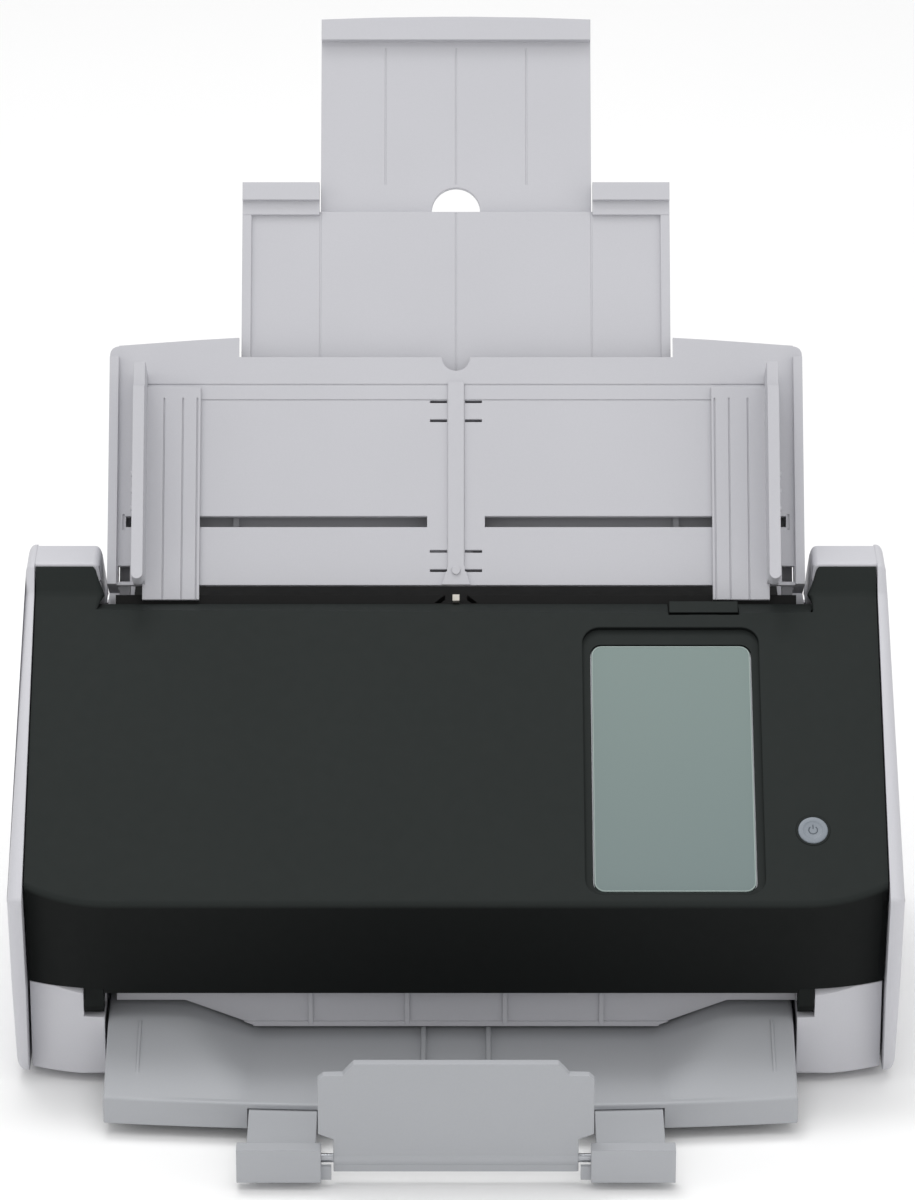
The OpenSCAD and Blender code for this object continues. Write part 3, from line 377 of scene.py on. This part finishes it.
def side_shell(name, sign):
    """The outer wall, lofted with a rounded rim, and the cap on top of the shoulder."""

    def wall(y, z, x):
        """The outer face leans inwards towards the desk and towards the shoulder."""
        lean = 1.5 * max(0.0, (46 - z) / 46) ** 2 + 2.2 * max(0.0, (z - 95) / 56) ** 2
        return sign * (x - lean * max(0.0, (x - WALL_IN) / (WALL_OUT - WALL_IN))), y, z

    def cap(y, z, x):
        """The cap's inner end leans outwards towards its top."""
        lean = 1.6 * max(0.0, (z - 127) / 24) * max(0.0, (CAP_OUT - x) / 24)
        return sign * (x + lean), y, z

    bm = slab(SIDE_OUTLINE, WALL_IN, WALL_OUT, 0, 3.6, wall)
    more = slab(CAP_OUTLINE, CAP_IN, CAP_OUT, 2.2, 0, cap)
    spare = bpy.data.meshes.new("spare")
    more.to_mesh(spare)
    more.free()
    bm.from_mesh(spare)
    bpy.data.meshes.remove(spare)
    finished(bm, name + "_shell", SHELL, name)


# ---- Stacker ----

def ease(x):
    """0 to 1 with a soft start and a soft end."""
    x = min(1.0, max(0.0, x))
    return x * x * (3 - 2 * x)


def softer_min(a, b, k):
    """The lower of two heights, with the fold between them blended over k."""
    h = max(k - abs(a - b), 0.0) / k
    return min(a, b) - h * h * k / 4


def edge_drop(distance, radius):
    """How far a rounded edge has dropped at a distance from the rim."""
    d = min(max(distance, 0.0), radius)
    return radius - math.sqrt(max(radius ** 2 - (radius - d) ** 2, 0.0))


RIM_STEPS = [0, 0.12, 0.35, 0.7, 1.1, 2.3, 2.35]
RIM_W = 2.4                         # width of the rims that the steps cover, and of the wall


def spaced(low, high, extra):
    """Positions from low to high, close together at both rims, with extra ones where details lie."""
    count = int((high - low) / RIM_W)
    inner = [low + RIM_W + (high - low - 2 * RIM_W) * i / count for i in range(count + 1)]
    places = [low + d for d in RIM_STEPS] + inner + [high - d for d in RIM_STEPS] + extra
    kept = []
    for p in sorted(places):
        if low <= p <= high and (not kept or p - kept[-1] > 0.02):
            kept.append(p)
    return kept


def stacker_shell():
    """The stacker's plate with its soft side wings, as one height field above another."""
    low, high = (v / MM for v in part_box("stacker"))
    middle, half = (low.x + high.x) / 2, (high.x - low.x) / 2
    rear, bow, top_z, wing_rise = -56.0, 5.7, 13.9, 10.6
    depth = 65
    rib_x, rail_x, line_x = 11, 70.5, 106.7
    # columns close to both edges of each rib, rail and line, and rows at the ribs' ends
    edges = [(rib_x, 0.75, 0.9), (rail_x, 1.0, 1.1), (line_x, 0.4, 0.6)]
    details = [side * (x + d) for side in (-1, 1) for x, near, far in edges
               for d in (-far, -near, near, far)]
    xs = spaced(low.x, high.x, details)
    steps = spaced(0, depth, [20.9, 21.0, 59.9, 60.0])

    def front(x):
        """The bowed front edge."""
        return low.y + bow * ((x - middle) / half) ** 2

    def top(x, y, rim):
        """Height of the upper surface: plate, wings, two ribs and a fine line on each wing."""
        slope = wing_rise * (0.75 * (abs(x) - 67) / 25 + 0.25 * ease((abs(x) - 66) / 27))
        wing = softer_min(slope, wing_rise * (y + 116) / 39, 3)
        z = top_z + max(0.0, softer_min(wing, wing_rise, 1.5)) - edge_drop(rim, 0.9)
        if abs(abs(x) - rib_x) < 0.8 and -100 < y < -60:
            z += 1.3
        if abs(abs(x) - line_x) < 0.5 and -106 < y < -80:
            z += 0.5 * ease((y + 106) / 8)
        return z

    # lowest roof of the hollow, underside of the sides and rails, and the walls' thickness
    hollow_z, side_z, wall = 12.0, 7.0, 2.32
    bm = bmesh.new()
    above, below = [], []
    for x in xs:
        up, down = [], []
        start = front(x)
        for step in steps:
            behind = max(0.0, step - RIM_W) / (depth - RIM_W)
            y = start + min(step, RIM_W) + (rear - start - RIM_W) * behind
            rim = min(x - low.x, high.x - x, y - start)
            z = top(x, y, rim)
            floor = max(hollow_z, z - RIM_W)
            if min(x - low.x, high.x - x) < wall or abs(abs(x) - rail_x) < 1.05:
                floor = side_z
            if y - start < wall and abs(x) > rail_x - 1.05:
                floor = low.z + edge_drop(rim, 0.6)
            up.append(bm.verts.new(Vector((x, y, z)) * MM))
            down.append(bm.verts.new(Vector((x, y, min(floor, z - 1))) * MM))
        above.append(up)
        below.append(down)
    across, along = len(xs), len(steps)
    for i in range(across - 1):
        for j in range(along - 1):
            bm.faces.new((above[i][j], above[i + 1][j], above[i + 1][j + 1], above[i][j + 1]))
            bm.faces.new((below[i][j], below[i][j + 1], below[i + 1][j + 1], below[i + 1][j]))
    rims = [[r[0] for r in rows] + rows[-1][1:] + [r[-1] for r in rows[-2::-1]] + rows[0][-2:0:-1]
            for rows in (below, above)]
    joined(bm, *rims)
    finished(bm, "stacker_shell", TRAY, "stacker")


# ---- Display and button ----

RIDGE = Vector((0, -88, 72))        # front ridge of the casing, in mm
UP_PANEL, OFF_PANEL = sloped(35.5)
GLASS_BOX = [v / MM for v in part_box("display_glass")]
GLASS_LEN = 95
GLASS_H = -1.8                      # face of the display's glass, off the panel
# section of the rim round the glass, as (sideways, height over the glass)
RIM_SECTION = [(0.24, -0.6), (0.24, 0.06), (0.1, 0.14), (-0.14, 0.14), (-0.24, 0.06), (-0.24, -0.6)]


def on_panel(x, s, h):
    """The point x across, s up the panel from the ridge and h off it."""
    return RIDGE + Vector((x, 0, 0)) + UP_PANEL * s + OFF_PANEL * h


def screen_corners(by, by_top, radius):
    """Corners of the display's glass, moved inwards, by another amount at the top."""
    middle = ((GLASS_BOX[0] + GLASS_BOX[1]) / 2 - RIDGE).dot(UP_PANEL)
    left, right = GLASS_BOX[0].x + by, GLASS_BOX[1].x - by
    low, high = middle - GLASS_LEN / 2 + by, middle + GLASS_LEN / 2 - by_top
    return [(left, low, radius), (right, low, radius), (right, high, radius), (left, high, radius)]


def screen():
    """The display's glass with a ground edge."""
    bm = slab(screen_corners(0, 0, 3.5), -3.0, GLASS_H, 0, 0.45, on_panel, 4)
    finished(bm, "screen_glass", DISPLAY, "display_glass")


def screen_rim():
    """A thin raised line round the display, where the glass meets the recess."""
    bm = bmesh.new()
    path = rounded(screen_corners(0.25, 0.5, 3.3))
    rows = []
    for i, p in enumerate(path):
        along = (path[(i + 1) % len(path)] - path[i - 1]).normalized()
        side = Vector((along.y, -along.x))
        rows.append([bm.verts.new(on_panel(p.x + side.x * k, p.y + side.y * k, GLASS_H + h) * MM)
                     for k, h in RIM_SECTION])
    for i, row in enumerate(rows):
        joined(bm, row, rows[(i + 1) % len(rows)])
    finished(bm, "screen_rim", RIM, "display_glass", False)


# half section of the button's cap, as (radius, height)
BUTTON_PROFILE = [(0, 0.28), (2.9, 0.28), (3.15, 0.34), (3.4, 0.5), (4.5, 0.5), (4.85, 0.36),
                  (5.0, 0.1), (5.0, -4), (1.5, -4), (1.5, -6.5), (0, -6.5)]
BUTTON_X = sum(v.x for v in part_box("power_button")) / (2 * MM)
BUTTON_S = 28.2                     # axis of the button, up the panel


def turned(bm, profile, place, segments=72):
    """A solid of revolution, closed where its profile meets the axis."""
    angles = [2 * math.pi * k / segments for k in range(segments)]
    loops = []
    for radius, height in profile:
        around = angles if radius else [0]
        loops.append([bm.verts.new(place(radius * math.cos(a), radius * math.sin(a), height) * MM)
                      for a in around])
    for a, b in zip(loops, loops[1:]):
        for k in range(segments):
            j = (k + 1) % segments
            ring = [a[k % len(a)], a[j % len(a)], b[j % len(b)], b[k % len(b)]]
            bm.faces.new(list(dict.fromkeys(ring)))


def at_button(u, v, h):
    """A point of the panel counted from the button's axis."""
    return on_panel(BUTTON_X + u, BUTTON_S + v, h)


def bar(bm, path, width, low, high, place):
    """A raised line of even width along a path of (u, v) points."""
    rows = []
    for i, (u, v) in enumerate(path):
        ahead = Vector(path[min(i + 1, len(path) - 1)]) - Vector(path[max(i - 1, 0)])
        side = Vector((-ahead.y, ahead.x)).normalized() * width / 2
        rows.append([bm.verts.new(place(u + side.x * k, v + side.y * k, h) * MM)
                     for k, h in ((1, low), (1, high), (-1, high), (-1, low))])
    for a, b in zip(rows, rows[1:]):
        joined(bm, a, b)
    bm.faces.new(rows[0][::-1])
    bm.faces.new(rows[-1])


def power_key():
    """The button's cap and the power mark on it: a broken ring and a stroke."""
    bm = bmesh.new()
    turned(bm, BUTTON_PROFILE, at_button)
    finished(bm, "power_key_cap", BUTTON, "power_button")
    bm = bmesh.new()
    ring_r, line_w, foot, top = 1.45, 0.34, 0.2, 0.36
    angles = [math.radians(a) for a in range(40, 321, 10)]
    bar(bm, [(ring_r * math.sin(a), ring_r * math.cos(a)) for a in angles], line_w, foot, top, at_button)
    bar(bm, [(0, 0.5), (0, 2.0)], line_w, foot, top, at_button)
    finished(bm, "power_key_mark", SYMBOL, "power_button", False)


# ---- Front cover ----

def front_cover_shell():
    """The cover with a rounded ridge, soft shoulders and a soft edge round the display's recess."""
    bm = cleaned("adf_cover")

    def on_plane(m):
        """How far off the panel's plane a point lies, and how far up the panel."""
        rel = m - RIDGE
        return rel.dot(OFF_PANEL), rel.dot(UP_PANEL)

    # the inner side of each shoulder leans outwards towards its top
    for v in bm.verts:
        p = v.co / MM
        if abs(abs(p.x) - 121.2) < 0.3 and p.z > 128 and -8 < p.y < 19:
            lean = -2.2 + 4.6 * max(0.0, (p.z - 137) / 14)
            v.co.x += math.copysign(lean * MM, p.x)
    bmesh.ops.dissolve_limit(bm, angle_limit=math.radians(0.6), verts=bm.verts, edges=bm.edges)

    def on_ridge(m):
        h, s = on_plane(m)
        return abs(h) < 1.2 and abs(s) < 1.5 or abs(h) < 0.4 and s < 16 and 114 < abs(m.x) < 144.2

    def on_shoulder(m):
        return 117 < abs(m.x) < 143 and on_plane(m)[1] > 104 and m.y < 15.4 and m.z > 136

    def on_recess(m):
        h, s = on_plane(m)
        return abs(h) < 0.2 and 30 < m.x < 110 and -1 < s < 112

    soften(bm, 1.8, 6, on_ridge, 10)
    soften(bm, 1.5, 5, on_shoulder, 15)
    soften(bm, 0.9, 5, on_recess, 15)
    finished(bm, "front_cover_shell", DARK, "adf_cover")


def throat_painted_shade():
    """A dark strip over the rear cover's pale ledge under the chute's lip: painted shade for the dark gap
    of the throat.
    """
    front, back, low, high, edge, half = 19.5, 43.5, 130.7, 131.1, 0.1, 112
    corners = [(front, low, edge), (back, low, edge), (back, high, edge), (front, high, edge)]
    bm = slab(corners, -half, half, edge, edge, lambda y, z, x: (x, y, z), 1)
    finished(bm, "throat_painted_shade", INNER, "lower_feed_guide", False)


side_shell("right_side_cover", 1)
side_shell("left_side_cover", -1)
front_cover_shell()
# the dark strip over the ledge under the chute's lip is painted shade
throat_painted_shade()
stacker_shell()
screen()
screen_rim()
power_key()
for name, radius in (("stacker_extension", 0.7), ("stopper", 0.6), ("right_paper_guide", 0.6),
                     ("left_paper_guide", 0.6), ("chute", 0.5), ("chute_extension_1", 0.5),
                     ("chute_extension_2", 0.5), ("open_tab", 0.4), ("exit_guide", 0.3),
                     ("base_tray", 0.5)):
    moulding(name, radius)


# ---- Stage, light and camera ----

def stage():
    """A plain pale floor."""
    bpy.ops.mesh.primitive_plane_add(size=12)
    floor = bpy.context.object
    floor.name = "floor"
    t = Tree("floor_white")
    tone = t.mixed(t.noise(0.4), (0.93, 0.93, 0.93, 1), (0.95, 0.95, 0.95, 1))
    t.put(t.surface.inputs["Base Color"], tone)
    t.put(t.surface.inputs["Roughness"], 0.7)
    floor.data.materials.append(t.material)


def area_light(name, place, aim, size, power):
    """A rectangular light at a place, turned towards another, with its power in watts."""
    data = bpy.data.lights.new(name, "AREA")
    data.shape = "RECTANGLE"
    data.size, data.size_y = size
    data.energy = power
    light = bpy.data.objects.new(name, data)
    light.location = place
    light.rotation_euler = (Vector(aim) - Vector(place)).to_track_quat("-Z", "Y").to_euler()
    bpy.context.collection.objects.link(light)


stage()
area_light("top_light", (0, 0.0, 2.2), (0, 0, 0.1), (2.4, 2.0), 15)
area_light("key_light", (-0.25, 0.45, 2.0), (0, -0.05, 0.1), (0.7, 0.5), 8)
area_light("front_light", (0, -2.6, 1.5), (0, 0, 0.12), (2.4, 1.2), 8)
area_light("left_light", (-2.2, -0.8, 1.2), (0, 0, 0.1), (1.2, 1.4), 4.5)
area_light("right_light", (2.2, -0.8, 1.2), (0, 0, 0.1), (1.2, 1.4), 4.5)

world = bpy.data.worlds.new("studio")
world.use_nodes = True
background = world.node_tree.nodes["Background"]
background.inputs["Color"].default_value = (1, 1, 1, 1)
background.inputs["Strength"].default_value = 0.68
bpy.context.scene.world = world

camera_pitch = math.radians(24)
lens = bpy.data.cameras.new("camera")
lens.sensor_width = 36
lens.lens = 174.78
lens.shift_x = 0.00125
camera = bpy.data.objects.new("camera", lens)
camera.location = (0, -1.8208, 0.9548)
camera.rotation_euler = Euler((math.pi / 2 - camera_pitch, 0, 0))
bpy.context.collection.objects.link(camera)
bpy.context.scene.camera = camera
bpy.context.scene.view_settings.view_transform = "Standard"
